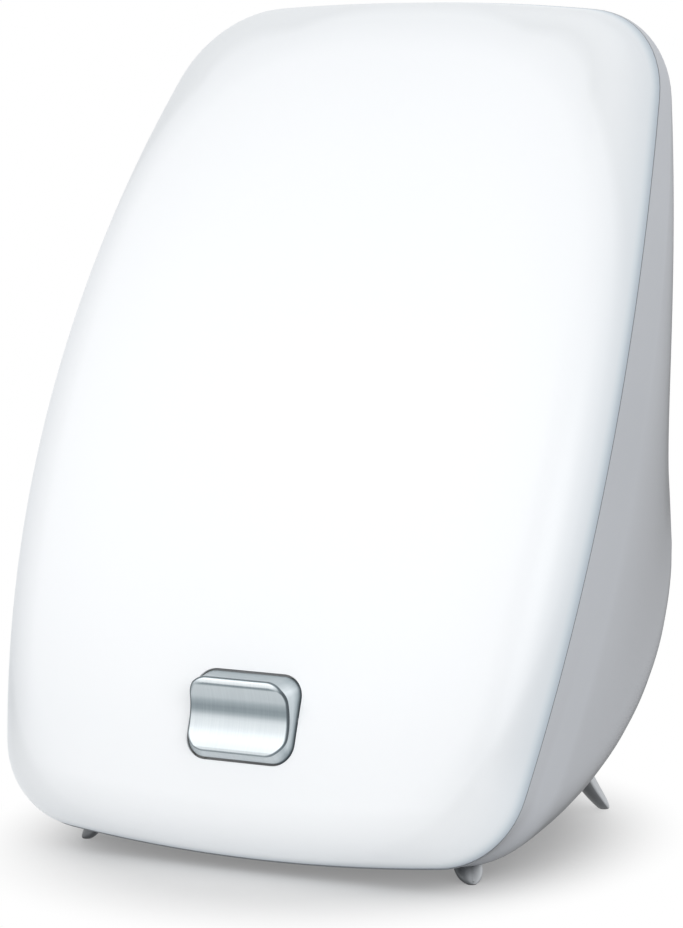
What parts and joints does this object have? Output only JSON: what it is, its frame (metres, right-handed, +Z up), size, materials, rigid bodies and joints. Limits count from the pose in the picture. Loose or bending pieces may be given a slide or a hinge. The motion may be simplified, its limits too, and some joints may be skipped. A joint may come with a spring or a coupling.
{
  "type": "light therapy lamp",
  "caption": "Wedge-shaped tabletop daylight lamp with a curved opal screen, grey rear housing, splayed feet and a wide rocker key low on the screen.",
  "frame": {"origin": "on the floor, under the middle of the lamp", "axes": "+Z up, the screen faces -Y, +X to the right seen from the front"},
  "size_m": [0.301, 0.2528, 0.407],
  "materials": {
    "ballast_steel": "galvanised",
    "black_plastic": "moulded",
    "board_green": "glass laminate",
    "contact_brass": "nickel plated",
    "foot_silver": "polished die casting",
    "housing_grey": "fine satin moulding",
    "key_metal": "brushed face, polished bevels",
    "lamp_plastic": "moulded",
    "locating_ring_clear": "satin",
    "opal_screen": "opal diffusing acrylic, satin",
    "pad_rubber": "matte",
    "plunger_red": "moulded",
    "reflector_white": "gloss white paint",
    "spring_steel": "spring temper",
    "tube_glass": "phosphor coated",
    "zinc_steel": "zinc plated"
  },
  "bodies": {
    "root": {"ballast_board": "board_green", "ballast_case": "ballast_steel", "ballast_components": "black_plastic", "ballast_screws": "zinc_steel", "carrier_screws": "zinc_steel", "clip_rivets": "zinc_steel", "foot_front_left": "foot_silver", "foot_front_right": "foot_silver", "foot_pads": "pad_rubber", "foot_rear_left": "foot_silver", "foot_rear_right": "foot_silver", "foot_screws": "zinc_steel", "front_cover": "opal_screen", "holder_screws": "zinc_steel", "inlet_blades": "contact_brass", "key_pin": "zinc_steel", "lamp_cap_left": "lamp_plastic", "lamp_cap_right": "lamp_plastic", "lamp_clip_left": "spring_steel", "lamp_clip_right": "spring_steel", "lamp_holder_left": "lamp_plastic", "lamp_holder_right": "lamp_plastic", "lamp_pins_left": "contact_brass", "lamp_pins_right": "contact_brass", "lamp_tube_left": "tube_glass", "lamp_tube_right": "tube_glass", "locating_ring": "locating_ring_clear", "mains_inlet": "black_plastic", "rear_housing": "housing_grey", "reflector_tray": "reflector_white", "switch_body": "black_plastic", "switch_carrier": "lamp_plastic", "switch_screws": "zinc_steel", "terminal_block": "lamp_plastic", "terminal_screws": "zinc_steel", "tray_screws": "zinc_steel"},
    "key": {"switch_key": "key_metal"},
    "plunger": {"switch_plunger": "plunger_red"}
  },
  "joints": [
    {"name": "key_rock", "type": "hinge", "parent": "root", "child": "key", "pos_m": [0, -0.10947, 0.07579], "axis": [-1, 0, 0], "range_deg": [0, 16.6]},
    {"name": "plunger_press", "type": "slide", "parent": "root", "child": "plunger", "axis": [0, 0.9415, -0.337], "range_m": [0, 0.00173]}
  ],
  "couplings": [
    {"joint": "plunger_press", "follows": "key_rock", "m_per_rad": 0.005979}
  ]
}
